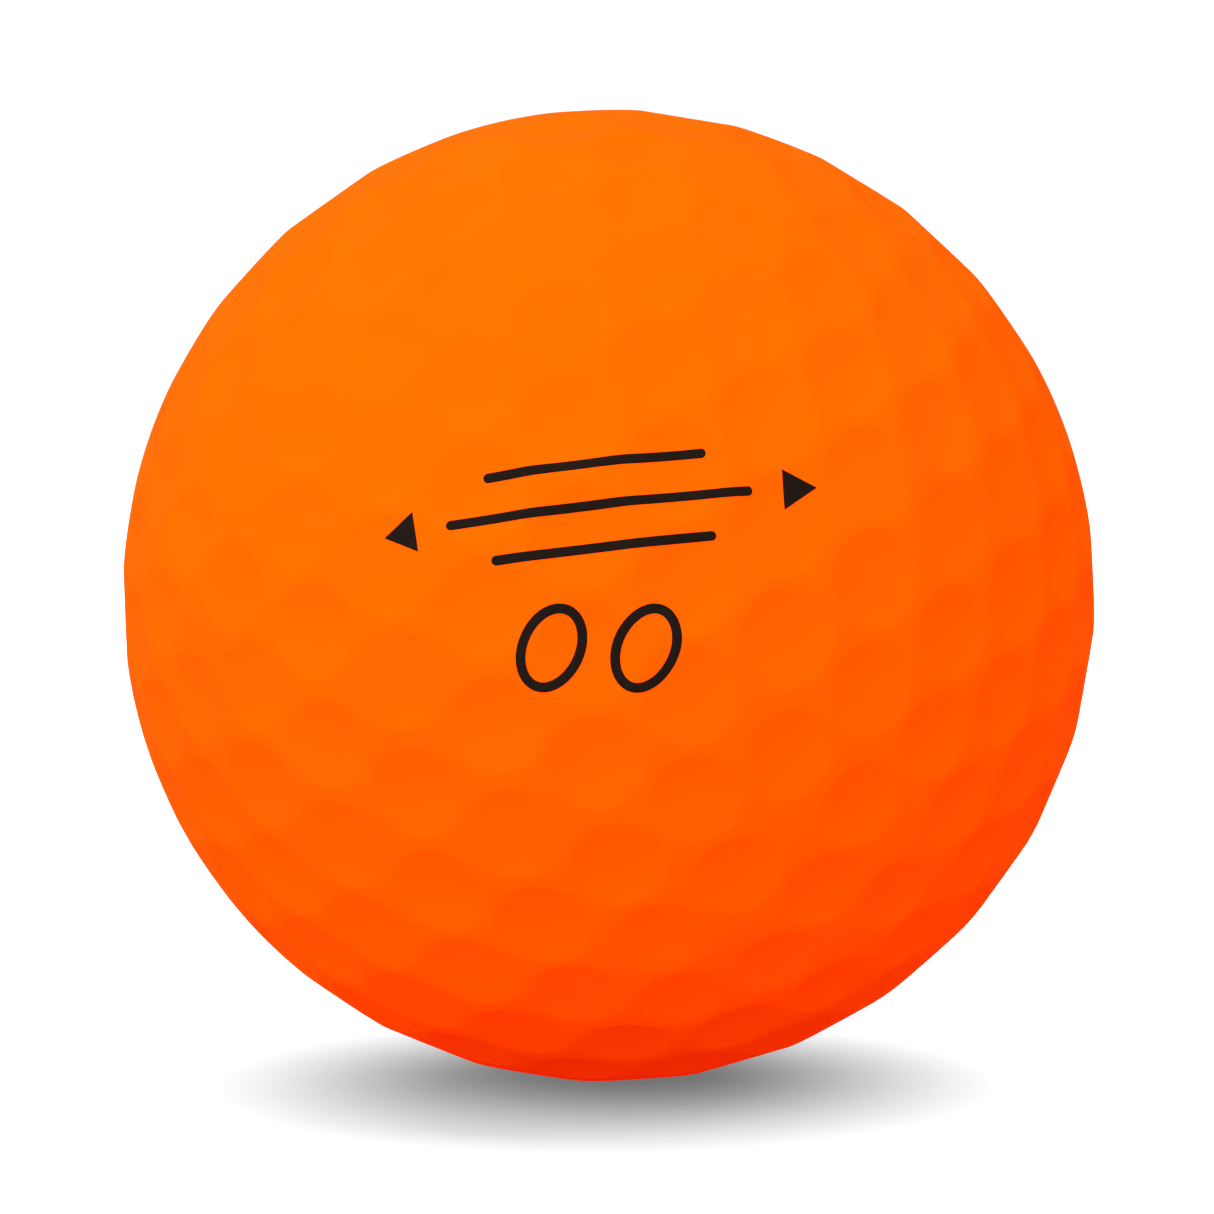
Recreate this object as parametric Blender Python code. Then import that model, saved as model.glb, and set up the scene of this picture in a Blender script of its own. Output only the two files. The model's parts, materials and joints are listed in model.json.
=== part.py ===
# Golf ball of the two-piece kind: a solid rubber core inside a moulded ionomer cover.
# The cover is two half shells that meet at a staggered parting line, which runs between the dimples.
# The ball's centre is the origin and +Z is up. The printed pole looks along -Y, turned up a little.

import itertools
import math

import bmesh
import bpy
import numpy as np
from mathutils import Vector

# Driving dimensions, in metres.
BALL_RADIUS = 0.021335
COVER_THICKNESS = 0.0018
FITTING_GAP = 0.0003
DIMPLE_DEPTH = 0.00014
LAND_WIDTH = 0.0002
PARTING_LAND = 0.0006
LARGEST_DIMPLE = 0.0044
DIMPLE_SIZE_STEP = 0.0001

# The ball rests with its printed pole turned up from the level.
POLE_TILT_DEGREES = 15.7

# One dimple sits on each of an octahedron's six corners. The others start anywhere
# and settle where their neighbours leave most room: each of them stands for
# twenty-four, which are its copies under the octahedron's turns.
FREE_DIMPLES = 13
START_SEED = 10
SPREADING_ROUNDS = 400

# Each side of a dimple's cell is cut in two, so a six-sided cell holds a rim of twelve corners.
CUTS_PER_CELL_SIDE = 1
CORE_SUBDIVISIONS = 4

COVER_COLOUR = (1.0, 0.12, 0.005, 1.0)
CORE_COLOUR = (0.08, 0.10, 0.13, 1.0)


def clear_scene():
    for item in list(bpy.data.objects):
        bpy.data.objects.remove(item, do_unlink=True)


def make_material(name, colour, roughness):
    material = bpy.data.materials.new(name)
    material.use_nodes = True
    shader = material.node_tree.nodes["Principled BSDF"]
    shader.inputs["Base Color"].default_value = colour
    shader.inputs["Roughness"].default_value = roughness
    shader.inputs["Metallic"].default_value = 0.0
    return material


def octahedron_turns():
    # The twenty-four turns that bring an octahedron back onto itself.
    turns = []
    for order in itertools.permutations(range(3)):
        for signs in itertools.product((1, -1), repeat=3):
            turn = np.eye(3)[list(order)] * np.array(signs)[:, None]
            if np.linalg.det(turn) > 0:
                turns.append(turn)
    return np.array(turns)


def with_copies(free, turns):
    corners = np.vstack([np.eye(3), -np.eye(3)])
    copies = np.einsum("tij,kj->tki", turns, free).reshape(-1, 3)
    return np.vstack([corners, copies])


def unit_rows(points):
    return points / np.linalg.norm(points, axis=1)[:, None]


def settled_layout():
    # Every dimple pushes its neighbours away, in steps that grow shorter, until they hardly move.
    turns = octahedron_turns()
    free = unit_rows(np.random.default_rng(START_SEED).normal(size=(FREE_DIMPLES, 3)))
    spacing = math.sqrt(4 * math.pi / len(with_copies(free, turns)))
    for number in range(SPREADING_ROUNDS):
        apart = free[:, None] - with_copies(free, turns)[None]
        squared = (apart ** 2).sum(axis=2)
        squared[squared < 1e-9] = np.inf
        push = (apart * (spacing ** 2 / squared)[:, :, None] ** 4).sum(axis=1)
        push -= (push * free).sum(axis=1)[:, None] * free
        strength = np.maximum(np.linalg.norm(push, axis=1), 1e-9)[:, None]
        longest_step = spacing / 8 * (1 - number / SPREADING_ROUNDS)
        free = unit_rows(free + push / strength * np.minimum(strength / 2, longest_step))
    return with_copies(free, turns)


def printed_pole():
    tilt = math.radians(POLE_TILT_DEGREES)
    return np.array([0, -math.cos(tilt), math.sin(tilt)])


def dimple_centres():
    # The middle of one of the octahedron's faces becomes the printed pole.
    pole = printed_pole()
    right = np.array([1.0, 0.0, 0.0])
    ball_axes = np.array([right, -pole, np.cross(right, -pole)])
    layout_axes = np.array([unit([1, 1, -2]), unit([-1, -1, -1]), unit([-1, 1, 0])])
    return settled_layout() @ layout_axes.T @ ball_axes


def unit(vector):
    return np.array(vector) / np.linalg.norm(vector)


def dimple_angles(centres):
    # Half of the way to the nearest neighbour, less half of the land, rounded down to a cutter's size.
    angle_between = np.arccos(np.clip(centres @ centres.T, -1, 1))
    is_front = centres @ printed_pole() > 0
    across_parting = is_front[:, None] != is_front[None]
    land = np.where(across_parting, PARTING_LAND, LAND_WIDTH)
    room = angle_between * BALL_RADIUS - land + np.eye(len(centres))
    diameters = np.minimum(room.min(axis=1), LARGEST_DIMPLE)
    diameters = np.floor(diameters / DIMPLE_SIZE_STEP) * DIMPLE_SIZE_STEP
    return diameters / 2 / BALL_RADIUS


def make_cells(centres):
    # One cell of the ball's surface around each dimple, its sides midway to the neighbours.
    bm = bmesh.new()
    for centre in centres:
        bm.verts.new(Vector(centre) * BALL_RADIUS)
    bmesh.ops.convex_hull(bm, input=bm.verts)
    hull_edges = list(bm.edges)
    centre_verts = list(bm.verts)
    for corner in bmesh.ops.poke(bm, faces=list(bm.faces))["verts"]:
        corner.co = even_corner([edge.other_vert(corner).co for edge in corner.link_edges])
    bmesh.ops.rotate_edges(bm, edges=hull_edges, use_ccw=False)
    bmesh.ops.dissolve_verts(bm, verts=centre_verts)
    return bm


def even_corner(centres):
    # The point of the ball that is as far from each of three dimples as from the others.
    first, second, third = centres
    square = (second - first).cross(third - first).normalized() * BALL_RADIUS
    return square if square.dot(first) > 0 else -square


def set_radius(verts, radius):
    for vert in verts:
        vert.co = vert.co.normalized() * radius


def keep_one_half(bm, side):
    # side is +1 for the half with the printed pole and -1 for the other.
    pole = Vector(printed_pole())
    far_cells = [cell for cell in bm.faces if cell.calc_center_median().dot(pole) * side < 0]
    bmesh.ops.delete(bm, geom=far_cells, context="FACES")


def draw_back_from_parting(bm):
    # Each corner on the parting line moves half of the gap into its own half shell.
    moves = []
    for vert in bm.verts:
        if vert.is_boundary:
            middle = sum((cell.calc_center_median() for cell in vert.link_faces), Vector())
            inward = middle.normalized() * BALL_RADIUS - vert.co
            moves.append((vert, inward.normalized() * FITTING_GAP / 2))
    for vert, move in moves:
        vert.co += move
    set_radius(bm.verts, BALL_RADIUS)


def skin_faces(bm, low, high):
    return [f for f in bm.faces if all(low < v.co.length < high for v in f.verts)]


def add_inner_skin(bm):
    inner_radius = BALL_RADIUS - COVER_THICKNESS
    middle_radius = BALL_RADIUS - COVER_THICKNESS / 2
    bmesh.ops.solidify(bm, geom=list(bm.faces), thickness=COVER_THICKNESS)
    outer_verts = [v for v in bm.verts if v.co.length > middle_radius]
    inner_verts = [v for v in bm.verts if v.co.length < middle_radius]
    set_radius(outer_verts, BALL_RADIUS)
    set_radius(inner_verts, inner_radius)
    for edge in bm.edges:
        low, high = sorted(edge.verts, key=lambda v: v.co.length)
        if low.co.length < middle_radius < high.co.length:
            low.co = high.co * inner_radius / BALL_RADIUS
    bmesh.ops.recalc_face_normals(bm, faces=list(bm.faces))
    for crown in bmesh.ops.poke(bm, faces=skin_faces(bm, 0, middle_radius))["verts"]:
        set_radius([crown], inner_radius)
    outer_edges = [e for e in bm.edges if all(v.co.length > middle_radius for v in e.verts)]
    bmesh.ops.subdivide_edges(bm, edges=outer_edges, cuts=CUTS_PER_CELL_SIDE)
    set_radius([v for v in bm.verts if v.co.length > middle_radius], BALL_RADIUS)
    return skin_faces(bm, middle_radius, 1)


def press_dimples(bm, cells, centres, angles):
    for cell in cells:
        toward = np.array(cell.calc_center_median().normalized())
        number = int(np.argmax(centres @ toward))
        axis = Vector(centres[number])
        bmesh.ops.inset_individual(bm, faces=[cell], thickness=LAND_WIDTH / 4, use_even_offset=False)
        for vert in cell.verts:
            outward = (vert.co - axis * vert.co.dot(axis)).normalized()
            rim = axis * math.cos(angles[number]) + outward * math.sin(angles[number])
            vert.co = rim * BALL_RADIUS
        rim_height = BALL_RADIUS * math.cos(angles[number])
        low_point = bmesh.ops.poke(bm, faces=[cell])["verts"][0]
        low_point.co = axis * (rim_height - DIMPLE_DEPTH)


def make_object(name, bm, material, sharp_degrees):
    mesh = bpy.data.meshes.new(name)
    bm.to_mesh(mesh)
    bm.free()
    mesh.materials.append(material)
    mesh.shade_smooth()
    mesh.set_sharp_from_angle(angle=math.radians(sharp_degrees))
    piece = bpy.data.objects.new(name, mesh)
    bpy.context.scene.collection.objects.link(piece)
    return piece


def make_cover_half(name, side, centres, angles, material):
    bm = make_cells(centres)
    keep_one_half(bm, side)
    draw_back_from_parting(bm)
    cells = add_inner_skin(bm)
    press_dimples(bm, cells, centres, angles)
    return make_object(name, bm, material, 9)


def make_core(name, material):
    bm = bmesh.new()
    radius = BALL_RADIUS - COVER_THICKNESS - FITTING_GAP
    bmesh.ops.create_icosphere(bm, subdivisions=CORE_SUBDIVISIONS, radius=radius)
    return make_object(name, bm, material, 40)


def main():
    clear_scene()
    cover_material = make_material("moulded_ionomer", COVER_COLOUR, 0.6)
    core_material = make_material("cured_rubber", CORE_COLOUR, 0.7)
    centres = dimple_centres()
    angles = dimple_angles(centres)
    make_core("core", core_material)
    make_cover_half("cover_front_half", 1, centres, angles, cover_material)
    make_cover_half("cover_rear_half", -1, centres, angles, cover_material)


main()
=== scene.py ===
import itertools
import json
import math

import bmesh
import bpy
import numpy as np
from mathutils import Matrix, Vector
from mathutils.bvhtree import BVHTree


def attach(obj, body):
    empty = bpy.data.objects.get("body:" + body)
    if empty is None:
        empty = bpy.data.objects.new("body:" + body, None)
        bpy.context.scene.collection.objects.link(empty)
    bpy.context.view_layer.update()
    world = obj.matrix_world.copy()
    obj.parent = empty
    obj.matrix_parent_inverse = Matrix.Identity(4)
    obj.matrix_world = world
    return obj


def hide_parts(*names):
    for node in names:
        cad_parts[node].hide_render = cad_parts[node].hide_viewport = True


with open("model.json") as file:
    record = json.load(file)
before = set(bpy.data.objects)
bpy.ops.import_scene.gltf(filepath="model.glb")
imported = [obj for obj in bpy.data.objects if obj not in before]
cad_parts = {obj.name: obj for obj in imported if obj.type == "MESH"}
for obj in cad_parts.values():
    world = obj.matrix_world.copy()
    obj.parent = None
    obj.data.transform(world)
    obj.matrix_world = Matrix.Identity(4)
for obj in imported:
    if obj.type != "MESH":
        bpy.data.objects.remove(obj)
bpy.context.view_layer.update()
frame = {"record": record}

# the seat on the tee is the ball's lowest point, so it gives the radius
ballRadius = -frame["record"]["mounts"][0]["pos_m"][2]
mm = 0.001


def linearColour(hexCode):
    channels = [int(hexCode[i:i + 2], 16) / 255 for i in (1, 3, 5)]
    linear = [c / 12.92 if c <= 0.04045 else ((c + 0.055) / 1.055) ** 2.4 for c in channels]
    return (*linear, 1.0)


def addNode(tree, kind, settings=None, links=None):
    node = tree.nodes.new(kind)
    for name, value in (settings or {}).items():
        if name in node.inputs:
            node.inputs[name].default_value = value
        else:
            setattr(node, name, value)
    for name, source in (links or {}).items():
        tree.links.new(source, node.inputs[name])
    return node


def newMaterial(name):
    material = bpy.data.materials.new(name)
    material.use_nodes = True
    tree = material.node_tree
    return material, tree, tree.nodes["Principled BSDF"]


layoutSettings = {
    "freeDimples": 13,          # each stands for its 24 copies under an octahedron's turns
    "startSeed": 10,
    "rounds": 400,
    "poleTilt": 15.7,           # degrees that the printed pole is turned up
    "land": 0.1 * mm,           # the least left between two rims, before the smoothing
    "partingLand": 0.3 * mm,    # the same where the parting line runs between them
    "largestDimple": 4.4 * mm,
    "sizeStep": 0.1 * mm,       # dimples come in sizes this far apart
}


def unitRows(points):
    return points / np.linalg.norm(points, axis=-1)[..., None]


def octahedronTurns():
    turns = []
    for order in itertools.permutations(range(3)):
        for signs in itertools.product((1, -1), repeat=3):
            turn = np.eye(3)[list(order)] * np.array(signs)[:, None]
            if np.linalg.det(turn) > 0:
                turns.append(turn)
    return np.array(turns)


def withCopies(free, turns):
    corners = np.vstack([np.eye(3), -np.eye(3)])
    return np.vstack([corners, np.einsum("tij,kj->tki", turns, free).reshape(-1, 3)])


def settledLayout(settings):
    # neighbours push each other away in ever shorter steps
    turns = octahedronTurns()
    count = settings["freeDimples"]
    free = unitRows(np.random.default_rng(settings["startSeed"]).normal(size=(count, 3)))
    spacing = math.sqrt(4 * math.pi / len(withCopies(free, turns)))
    for number in range(settings["rounds"]):
        apart = free[:, None] - withCopies(free, turns)[None]
        squared = (apart ** 2).sum(axis=2)
        squared[squared < 1e-9] = np.inf
        push = (apart * (spacing ** 2 / squared)[:, :, None] ** 4).sum(axis=1)
        push -= (push * free).sum(axis=1)[:, None] * free
        strength = np.maximum(np.linalg.norm(push, axis=1), 1e-9)[:, None]
        longestStep = spacing / 8 * (1 - number / settings["rounds"])
        free = unitRows(free + push / strength * np.minimum(strength / 2, longestStep))
    return withCopies(free, turns)


def ballAxes(settings):
    # right, back and up of the ball itself, with the printed pole at the front
    tilt = math.radians(settings["poleTilt"])
    right = np.array([1.0, 0.0, 0.0])
    back = np.array([0.0, math.cos(tilt), -math.sin(tilt)])
    return np.array([right, back, np.cross(right, back)])


def dimpleCentres(settings):
    layoutAxes = unitRows(np.array([[1.0, 1.0, -2.0], [-1.0, -1.0, -1.0], [-1.0, 1.0, 0.0]]))
    return settledLayout(settings) @ layoutAxes.T @ ballAxes(settings)


def dimpleAngles(centres, settings):
    between = np.arccos(np.clip(centres @ centres.T, -1, 1))
    isFront = centres @ ballAxes(settings)[1] < 0
    across = isFront[:, None] != isFront[None]
    land = np.where(across, settings["partingLand"], settings["land"])
    room = between * ballRadius - land + np.eye(len(centres))
    diameters = np.minimum(room.min(axis=1), settings["largestDimple"])
    diameters = np.floor(diameters / settings["sizeStep"]) * settings["sizeStep"]
    return diameters / 2 / ballRadius


coverSettings = {
    "thickness": 1.8 * mm,
    "cutsPerCellSide": 2,       # a six-sided cell gets a rim of eighteen corners
    "bowlRings": (1.0, 0.93, 0.62, 0.31),   # shares of the rim's radius; the second keeps it crisp
    "dimpleDepth": 0.14 * mm,   # below the plane of the rim
    "insetStep": 0.02 * mm,     # a new ring starts this far in, before it is put in its place
    "smoothLevels": 1,
}


def setRadius(verts, radius):
    for vert in verts:
        vert.co = vert.co.normalized() * radius


def coverCells(centres):
    bm = bmesh.new()
    for centre in centres:
        bm.verts.new(Vector(centre) * ballRadius)
    bmesh.ops.convex_hull(bm, input=bm.verts)
    hullEdges = list(bm.edges)
    centreVerts = list(bm.verts)
    for corner in bmesh.ops.poke(bm, faces=list(bm.faces))["verts"]:
        corner.co = evenCorner([edge.other_vert(corner).co for edge in corner.link_edges])
    bmesh.ops.rotate_edges(bm, edges=hullEdges, use_ccw=False)
    bmesh.ops.dissolve_verts(bm, verts=centreVerts)
    return bm


def evenCorner(centres):
    # the point of the ball that is equally far from three dimples
    first, second, third = centres
    square = (second - first).cross(third - first).normalized() * ballRadius
    return square if square.dot(first) > 0 else -square


def addInnerSkin(bm, settings):
    innerRadius = ballRadius - settings["thickness"]
    middleRadius = ballRadius - settings["thickness"] / 2
    bmesh.ops.solidify(bm, geom=list(bm.faces), thickness=settings["thickness"])
    setRadius([v for v in bm.verts if v.co.length > middleRadius], ballRadius)
    setRadius([v for v in bm.verts if v.co.length < middleRadius], innerRadius)
    for edge in bm.edges:
        low, high = sorted(edge.verts, key=lambda v: v.co.length)
        if low.co.length < middleRadius < high.co.length:
            low.co = high.co * innerRadius / ballRadius
    bmesh.ops.recalc_face_normals(bm, faces=list(bm.faces))
    outerEdges = [e for e in bm.edges if all(v.co.length > middleRadius for v in e.verts)]
    bmesh.ops.subdivide_edges(bm, edges=outerEdges, cuts=settings["cutsPerCellSide"])
    setRadius([v for v in bm.verts if v.co.length > middleRadius], ballRadius)
    return [f for f in bm.faces if all(v.co.length > middleRadius for v in f.verts)]


def sharpenPartingLine(bm, cells):
    # the edge between the outer skin and the parting face stays crisp under the smoothing
    crease = bm.edges.layers.float.new("crease_edge")
    cellSet = set(cells)
    for edge in bm.edges:
        if len([f for f in edge.link_faces if f in cellSet]) == 1:
            edge[crease] = 1.0
            edge.smooth = False


def bowlHeight(axialAngle, rimAngle, depth):
    # a round bowl below the rim's plane, as the distance from the ball's centre along the axis
    share = axialAngle / rimAngle
    return ballRadius * math.cos(rimAngle) - depth * (1 - share ** 2)


def pressDimples(bm, cells, centres, angles, settings):
    for cell in cells:
        number = int(np.argmax(centres @ np.array(cell.calc_center_median())))
        axis = Vector(centres[number])
        rimAngle = angles[number]
        for ring in settings["bowlRings"]:
            bmesh.ops.inset_individual(
                bm, faces=[cell], thickness=settings["insetStep"], use_even_offset=False)
            height = bowlHeight(ring * rimAngle, rimAngle, settings["dimpleDepth"])
            reach = ballRadius * math.sin(rimAngle) * ring
            for vert in cell.verts:
                outward = (vert.co - axis * vert.co.dot(axis)).normalized()
                vert.co = axis * height + outward * reach


def makeCoverHalf(name, side, centres, angles, material):
    settings = coverSettings
    bm = coverCells(centres)
    back = Vector(ballAxes(layoutSettings)[1])
    farCells = [cell for cell in bm.faces if cell.calc_center_median().dot(back) * side < 0]
    bmesh.ops.delete(bm, geom=farCells, context="FACES")
    cells = addInnerSkin(bm, settings)
    for face in bm.faces:
        face.smooth = True
    sharpenPartingLine(bm, cells)
    pressDimples(bm, cells, centres, angles, settings)
    piece = linkPiece(name, bm, material)
    smoothing = piece.modifiers.new("soft rims", "SUBSURF")
    smoothing.levels = smoothing.render_levels = settings["smoothLevels"]
    return piece


def linkPiece(name, bm, material):
    mesh = bpy.data.meshes.new(name)
    bm.to_mesh(mesh)
    bm.free()
    mesh.materials.append(material)
    piece = bpy.data.objects.new(name, mesh)
    bpy.context.scene.collection.objects.link(piece)
    return piece


markSettings = {
    "stroke": 0.4 * mm,
    "diceStep": 0.15 * mm,      # the ink is cut this fine, so that it follows the dimples
    "height": 0.012 * mm,       # how far the ink stands above the cover
    "thickness": 0.03 * mm,     # most of it below the skin, so that no gap shows
    "sideways": -0.4 * mm,
    "aimDrop": 3.0,             # degrees below the printed pole
    "aimClimb": 6.5,            # degrees that the alignment mark rises to the right
    "aimBars": ((0.0, 12.4 * mm), (1.7 * mm, 9.0 * mm), (-1.7 * mm, 9.0 * mm)),
    "arrowReach": 8.0 * mm,
    "arrowSize": 0.95 * mm,
    "numberDrop": 18.3,
    "numberSpacing": 3.74 * mm,
    "numberHalfSize": (1.38 * mm, 1.77 * mm),
    "numberSlant": 0.19,
    "barSegments": 24,
    "numberSegments": 64,
    "castFrom": 1.2,            # ball radii, where the rays that find the cover start
}


def flatBar(bm, length, height, settings):
    # a bar with round ends: a disc whose halves are drawn apart
    stroke = settings["stroke"]
    disc = bmesh.ops.create_circle(
        bm, cap_ends=True, segments=settings["barSegments"], radius=stroke / 2)["verts"]
    for vert in disc:
        reach = length / 2 - stroke / 2
        vert.co.x += reach if vert.co.x > 0 else -reach
        vert.co.y += height


def flatArrow(bm, reach, size):
    triangle = bmesh.ops.create_circle(bm, cap_ends=True, segments=3, radius=size)["verts"]
    heading = math.radians(-90 if reach > 0 else 90)
    bmesh.ops.rotate(bm, verts=triangle, matrix=Matrix.Rotation(heading, 3, "Z"))
    bmesh.ops.translate(bm, verts=triangle, vec=(reach, 0, 0))


def flatNought(bm, centre, settings):
    # a slanted oval disc whose middle is cut out
    halfWidth, halfHeight = settings["numberHalfSize"]
    oval = bmesh.ops.create_circle(
        bm, cap_ends=True, segments=settings["numberSegments"], radius=1)["verts"]
    for vert in oval:
        across, up = vert.co.x * halfWidth, vert.co.y * halfHeight
        vert.co = (across + up * settings["numberSlant"] + centre, up, 0)
    middle = oval[0].link_faces[0]
    bmesh.ops.inset_region(bm, faces=[middle], thickness=settings["stroke"], use_boundary=True)
    bmesh.ops.delete(bm, geom=[middle], context="FACES")


def aimMark(bm, settings):
    for height, length in settings["aimBars"]:
        flatBar(bm, length, height, settings)
    for reach in (settings["arrowReach"], -settings["arrowReach"]):
        flatArrow(bm, reach, settings["arrowSize"])
    climb = Matrix.Rotation(math.radians(settings["aimClimb"]), 3, "Z")
    bmesh.ops.rotate(bm, verts=list(bm.verts), matrix=climb)


def numberMark(bm, settings):
    for side in (-1, 1):
        flatNought(bm, side * settings["numberSpacing"] / 2, settings)


def diceFlatShape(bm, step):
    # cuts the flat mark into a grid of small squares
    for axis in (0, 1):
        low = min(v.co[axis] for v in bm.verts)
        high = max(v.co[axis] for v in bm.verts)
        normal = Vector((1, 0, 0)) if axis == 0 else Vector((0, 1, 0))
        for number in range(1, math.ceil((high - low) / step)):
            everything = list(bm.verts) + list(bm.edges) + list(bm.faces)
            cut = normal * (low + number * step)
            bmesh.ops.bisect_plane(bm, geom=everything, plane_co=cut, plane_no=normal, dist=1e-7)


def pressOntoCover(bm, covers, drop, behind, settings):
    # each point goes out along its own direction from the ball's centre, then back onto the cover
    right, back, up = [Vector(axis) for axis in ballAxes(layoutSettings)]
    if behind:
        right, back = -right, -back
    angle = math.radians(-drop)
    middle = -back * math.cos(angle) + up * math.sin(angle)
    markUp = back * math.sin(angle) + up * math.cos(angle)
    for vert in bm.verts:
        across, along = vert.co.x + settings["sideways"], vert.co.y
        turn = math.hypot(across, along) / ballRadius
        toward = (right * across + markUp * along).normalized()
        direction = middle * math.cos(turn) + toward * math.sin(turn)
        start = direction * ballRadius * settings["castFrom"]
        hits = [tree.ray_cast(start, -direction)[0] for tree in covers]
        surface = max(hit.length for hit in hits if hit)
        vert.co = direction * (surface + settings["height"])


def makeMark(name, draw, drop, behind, covers, material):
    settings = markSettings
    bm = bmesh.new()
    draw(bm, settings)
    diceFlatShape(bm, settings["diceStep"])
    pressOntoCover(bm, covers, drop, behind, settings)
    bmesh.ops.recalc_face_normals(bm, faces=list(bm.faces))
    for face in bm.faces:
        face.smooth = True
        if face.normal.dot(face.calc_center_median()) < 0:
            face.normal_flip()
    bmesh.ops.solidify(bm, geom=list(bm.faces), thickness=settings["thickness"])
    return linkPiece(name, bm, material)


coverFinish = {
    "orange": "#FF7300",        # fluorescent pigment under a clear matte coat
    "deepOrange": "#FF6C00",
    "paintedRedGlow": "#E61900",          # painted glow: a constant red emission, so shaded dimples and the dark side stay bright red whatever light falls
    "paintedGlowStrength": 1.0,
    "mottleSize": 6.0 * mm,
    "coatGrain": 0.12 * mm,     # coarser than the real coat's grain, which is too fine to see
    "grainBump": 0.15,
    "grainHeight": 0.004 * mm,
    "roughness": 0.75,
    "ior": 1.49,
    "specular": 0.01,           # the matte coat gives no highlight
}


def matteOrangeIonomer():
    # moulded ionomer with a fluorescent dye and a clear matte coat: saturated and soft, no glints;
    # a painted red glow keeps its shaded side bright
    material, tree, shader = newMaterial("matteOrangeIonomer")
    place = addNode(tree, "ShaderNodeTexCoord")
    mottle = addNode(tree, "ShaderNodeTexNoise",
                     {"Scale": 1 / coverFinish["mottleSize"], "Detail": 2.0},
                     {"Vector": place.outputs["Object"]})
    tint = addNode(tree, "ShaderNodeMix", {"data_type": "RGBA"})
    tint.inputs[6].default_value = linearColour(coverFinish["orange"])
    tint.inputs[7].default_value = linearColour(coverFinish["deepOrange"])
    tree.links.new(mottle.outputs["Fac"], tint.inputs[0])
    tree.links.new(tint.outputs[2], shader.inputs["Base Color"])
    grain = addNode(tree, "ShaderNodeTexNoise",
                    {"Scale": 1 / coverFinish["coatGrain"], "Detail": 1.0},
                    {"Vector": place.outputs["Object"]})
    bump = addNode(tree, "ShaderNodeBump",
                   {"Strength": coverFinish["grainBump"], "Distance": coverFinish["grainHeight"]},
                   {"Height": grain.outputs["Fac"]})
    tree.links.new(bump.outputs["Normal"], shader.inputs["Normal"])
    shader.inputs["Roughness"].default_value = coverFinish["roughness"]
    shader.inputs["IOR"].default_value = coverFinish["ior"]
    shader.inputs["Specular IOR Level"].default_value = coverFinish["specular"]
    # painted glow: the cover emits red light of its own, which lifts its shade
    shader.inputs["Emission Color"].default_value = linearColour(coverFinish["paintedRedGlow"])
    shader.inputs["Emission Strength"].default_value = coverFinish["paintedGlowStrength"]
    return material


inkFinish = {
    "black": "#1C110B",
    "worn": "#251A14",
    "speckle": 0.5 * mm,
    "roughness": 0.6,
    "specular": 0.05,           # it lies under the same matte coat as the cover
}


def padPrintedInk():
    # ink under the clear coat: a warm near-black, a little uneven where the pad laid it thin
    material, tree, shader = newMaterial("padPrintedInk")
    place = addNode(tree, "ShaderNodeTexCoord")
    speckle = addNode(tree, "ShaderNodeTexNoise",
                      {"Scale": 1 / inkFinish["speckle"], "Detail": 2.0},
                      {"Vector": place.outputs["Object"]})
    tint = addNode(tree, "ShaderNodeMix", {"data_type": "RGBA"})
    tint.inputs[6].default_value = linearColour(inkFinish["black"])
    tint.inputs[7].default_value = linearColour(inkFinish["worn"])
    tree.links.new(speckle.outputs["Fac"], tint.inputs[0])
    tree.links.new(tint.outputs[2], shader.inputs["Base Color"])
    shader.inputs["Roughness"].default_value = inkFinish["roughness"]
    shader.inputs["Specular IOR Level"].default_value = inkFinish["specular"]
    return material


coreFinish = {
    "rubber": "#5B6B7E",
    "flecks": "#4A586A",
    "fleckSize": 0.8 * mm,
    "roughness": 0.7,
}


def curedRubber():
    # cured polybutadiene: blue-grey, dull, with flecks of filler
    material, tree, shader = newMaterial("curedRubber")
    place = addNode(tree, "ShaderNodeTexCoord")
    flecks = addNode(tree, "ShaderNodeTexVoronoi", {"Scale": 1 / coreFinish["fleckSize"]},
                     {"Vector": place.outputs["Object"]})
    tint = addNode(tree, "ShaderNodeMix", {"data_type": "RGBA"})
    tint.inputs[6].default_value = linearColour(coreFinish["flecks"])
    tint.inputs[7].default_value = linearColour(coreFinish["rubber"])
    tree.links.new(flecks.outputs["Distance"], tint.inputs[0])
    tree.links.new(tint.outputs[2], shader.inputs["Base Color"])
    shader.inputs["Roughness"].default_value = coreFinish["roughness"]
    return material


stageSettings = {
    "radius": 1.5,
    "paper": "#F2F2F2",
    "paperRoughness": 0.9,
    "paperGlow": 0.15,          # light that the paper scatters into the shadow
    "backdropStrength": 1.15,
    "skyStrength": 1.35,
    "skyDirection": (-0.364, -0.538, 0.760),    # upper left, in front of the ball
    "skyFade": (-0.4, 0.8),     # dark to fully lit, as the cosine of the angle to that direction
    "lampRadius": 0.51,
    "lampPlace": (0.155, 0.39, 0.25),
    "lampPower": 4.6,
    "darkDiscRadius": 1.15 * ballRadius,
    "darkDiscDrop": 0.5 * mm,   # below the paper
    "standInGap": 0.35 * mm,    # inside the cover's outer skin
    "standInGrey": "#BBBBBB",
}


def makeFloor():
    settings = stageSettings
    bm = bmesh.new()
    bmesh.ops.create_circle(bm, cap_ends=True, segments=96, radius=settings["radius"])
    bmesh.ops.translate(bm, verts=list(bm.verts), vec=(0, 0, -ballRadius))
    material, tree, shader = newMaterial("matteStudioPaper")
    shader.inputs["Base Color"].default_value = linearColour(settings["paper"])
    shader.inputs["Roughness"].default_value = settings["paperRoughness"]
    shader.inputs["Specular IOR Level"].default_value = 0.0
    shader.inputs["Emission Color"].default_value = (1, 1, 1, 1)
    shader.inputs["Emission Strength"].default_value = settings["paperGlow"]
    floor = linkPiece("studioFloor", bm, material)
    floor.visible_diffuse = False       # the paper doesn't light the ball's underside
    return floor


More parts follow.
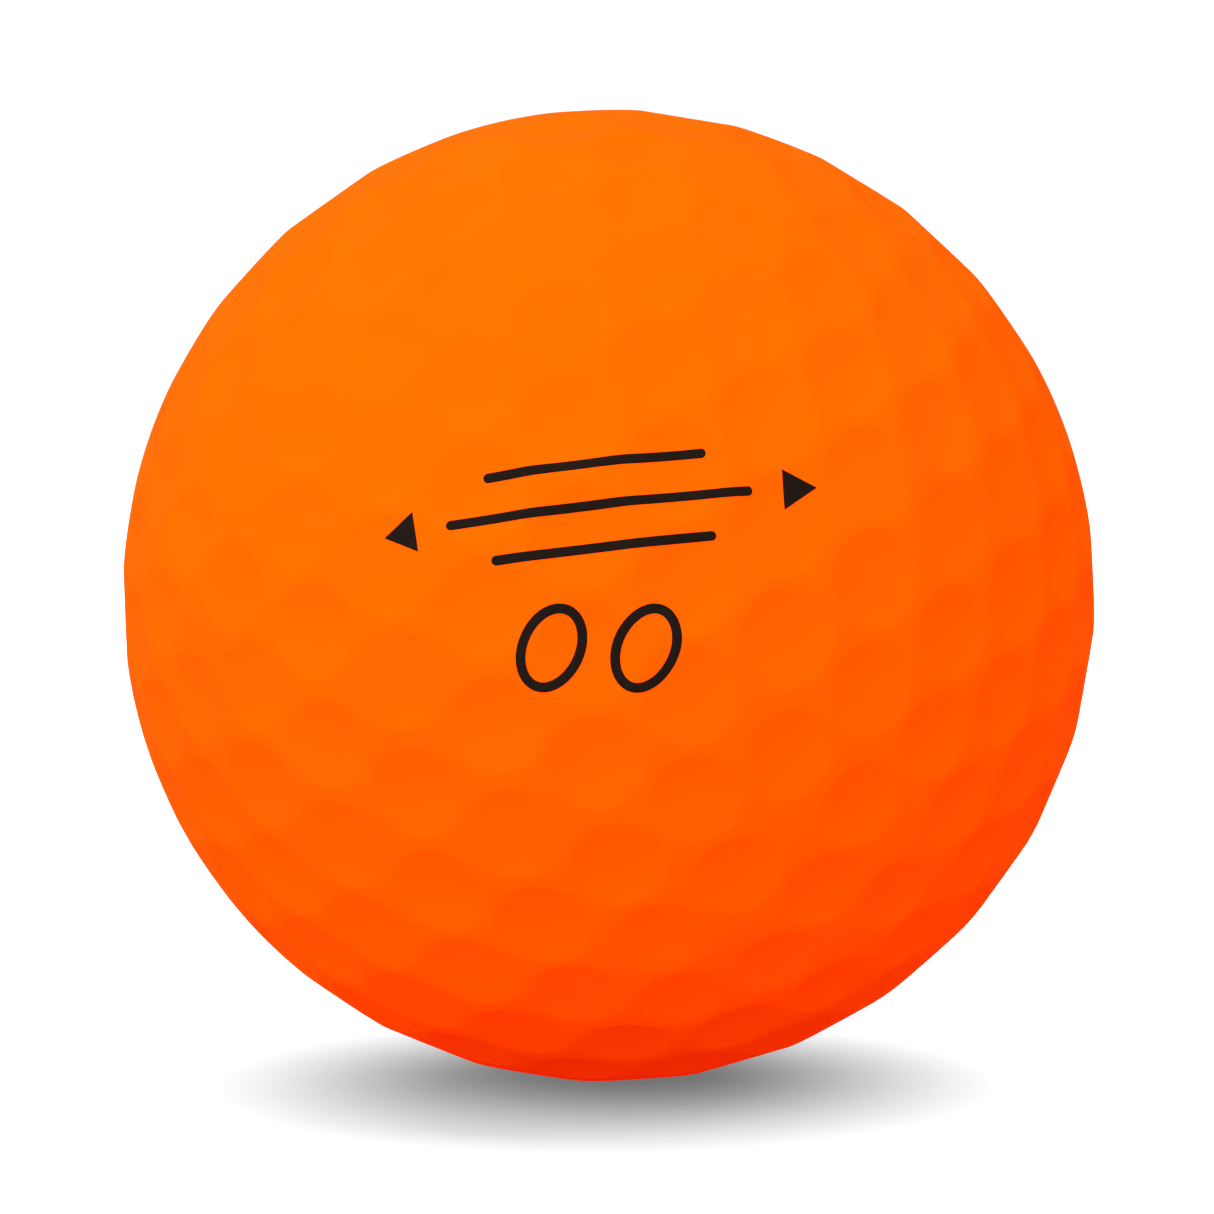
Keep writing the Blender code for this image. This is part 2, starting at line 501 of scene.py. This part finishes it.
def makeFloorLamp(floor):
    # a wide lamp above and behind the ball, for the paper alone: white paper, small soft shadow
    settings = stageSettings
    lamp = bpy.data.lights.new("floorLamp", "AREA")
    lamp.shape = "DISK"
    lamp.size = 2 * settings["lampRadius"]
    lamp.energy = settings["lampPower"]
    holder = bpy.data.objects.new("floorLamp", lamp)
    holder.location = settings["lampPlace"]
    holder.visible_camera = False
    bpy.context.scene.collection.objects.link(holder)
    paperAlone = bpy.data.collections.new("paperAlone")
    paperAlone.objects.link(floor)
    holder.light_linking.receiver_collection = paperAlone


def makeDarkDisc():
    # lies under the paper, where it keeps the sky's lower edge off the ball's underside
    settings = stageSettings
    bm = bmesh.new()
    bmesh.ops.create_circle(bm, cap_ends=True, segments=64, radius=settings["darkDiscRadius"])
    low = -ballRadius - settings["darkDiscDrop"]
    bmesh.ops.translate(bm, verts=list(bm.verts), vec=(0, 0, low))
    material, tree, shader = newMaterial("blackFelt")
    shader.inputs["Base Color"].default_value = (0, 0, 0, 1)
    shader.inputs["Specular IOR Level"].default_value = 0.0
    disc = linkPiece("darkDisc", bm, material)
    disc.visible_camera = False
    return disc


def makeGreyStandIn():
    # the paper sees this grey ball in place of the orange cover around it, so the shadow stays grey
    settings = stageSettings
    bm = bmesh.new()
    radius = ballRadius - settings["standInGap"]
    bmesh.ops.create_icosphere(bm, subdivisions=5, radius=radius)
    material, tree, shader = newMaterial("neutralGrey")
    shader.inputs["Base Color"].default_value = linearColour(settings["standInGrey"])
    shader.inputs["Specular IOR Level"].default_value = 0.0
    standIn = linkPiece("greyStandIn", bm, material)
    standIn.visible_camera = False
    return standIn


def makeBackdrop():
    # a white dome that only the camera sees
    settings = stageSettings
    bm = bmesh.new()
    bmesh.ops.create_uvsphere(bm, u_segments=64, v_segments=32, radius=settings["radius"])
    material, tree, shader = newMaterial("whiteBackdrop")
    shader.inputs["Base Color"].default_value = (0, 0, 0, 1)
    shader.inputs["Specular IOR Level"].default_value = 0.0
    shader.inputs["Emission Color"].default_value = (1, 1, 1, 1)
    shader.inputs["Emission Strength"].default_value = settings["backdropStrength"]
    backdrop = linkPiece("studioBackdrop", bm, material)
    backdrop.visible_diffuse = False
    backdrop.visible_glossy = False
    backdrop.visible_transmission = False
    backdrop.visible_shadow = False
    return backdrop


def makeSky():
    # the sky is brightest on one side and fades round to dark, like one large soft lamp
    settings = stageSettings
    world = bpy.data.worlds.new("softDome")
    bpy.context.scene.world = world
    world.use_nodes = True
    tree = world.node_tree
    background = tree.nodes["Background"]
    place = addNode(tree, "ShaderNodeTexCoord")
    facing = addNode(tree, "ShaderNodeVectorMath", {"operation": "DOT_PRODUCT"})
    tree.links.new(place.outputs["Generated"], facing.inputs[0])
    facing.inputs[1].default_value = Vector(settings["skyDirection"]).normalized()
    dark, full = settings["skyFade"]
    fade = {"From Min": dark, "From Max": full, "To Min": 0.0, "To Max": settings["skyStrength"]}
    lit = addNode(tree, "ShaderNodeMapRange", fade, {"Value": facing.outputs["Value"]})
    tree.links.new(lit.outputs["Result"], background.inputs["Strength"])
    background.inputs["Color"].default_value = (1, 1, 1, 1)


cameraSettings = {
    "distance": 9.0,            # ball radii from the ball's centre
    "elevation": 3.0,
    "lens": 129.0,              # millimetres, on a 36 mm sensor
    "sensor": 36.0,
    "shift": (-0.0015, -0.0095),
    "clip": (0.01, 10.0),
}


def makeCamera():
    settings = cameraSettings
    camera = bpy.data.cameras.new("camera")
    camera.sensor_width = settings["sensor"]
    camera.lens = settings["lens"]
    camera.shift_x, camera.shift_y = settings["shift"]
    camera.clip_start, camera.clip_end = settings["clip"]
    holder = bpy.data.objects.new("camera", camera)
    tilt = math.radians(settings["elevation"])
    away = settings["distance"] * ballRadius
    holder.location = (0, -away * math.cos(tilt), away * math.sin(tilt))
    holder.rotation_euler = (math.pi / 2 - tilt, 0, 0)
    bpy.context.scene.collection.objects.link(holder)
    bpy.context.scene.camera = holder


def main():
    makeCamera()
    makeSky()
    floor = makeFloor()
    makeFloorLamp(floor)
    makeBackdrop()
    makeDarkDisc()
    makeGreyStandIn()
    bpy.context.scene.view_settings.view_transform = "Standard"
    print("stage, light and camera are in place")

    centres = dimpleCentres(layoutSettings)
    angles = dimpleAngles(centres, layoutSettings)
    print("dimples laid out:", len(centres))

    orange = matteOrangeIonomer()
    front = makeCoverHalf("coverFront", -1, centres, angles, orange)
    rear = makeCoverHalf("coverRear", 1, centres, angles, orange)
    for piece, node in ((front, "cover_front_half"), (rear, "cover_rear_half")):
        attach(piece, "root")
        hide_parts(node)
        piece.visible_diffuse = False       # its orange doesn't spill onto the paper
    print("both cover halves are moulded")

    seen = bpy.context.evaluated_depsgraph_get()
    covers = [BVHTree.FromObject(piece, seen) for piece in (front, rear)]
    ink = padPrintedInk()
    aimDrop, numberDrop = markSettings["aimDrop"], markSettings["numberDrop"]
    for behind, where in ((False, "Front"), (True, "Rear")):
        aim = makeMark("aimMark" + where, aimMark, aimDrop, behind, covers, ink)
        number = makeMark("number" + where, numberMark, numberDrop, behind, covers, ink)
        for piece in (aim, number):
            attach(piece, "root")
    print("marks are printed")

    core = bpy.data.objects["core"]
    for slot in core.material_slots:
        slot.material = curedRubber()
    print("core is finished")


main()
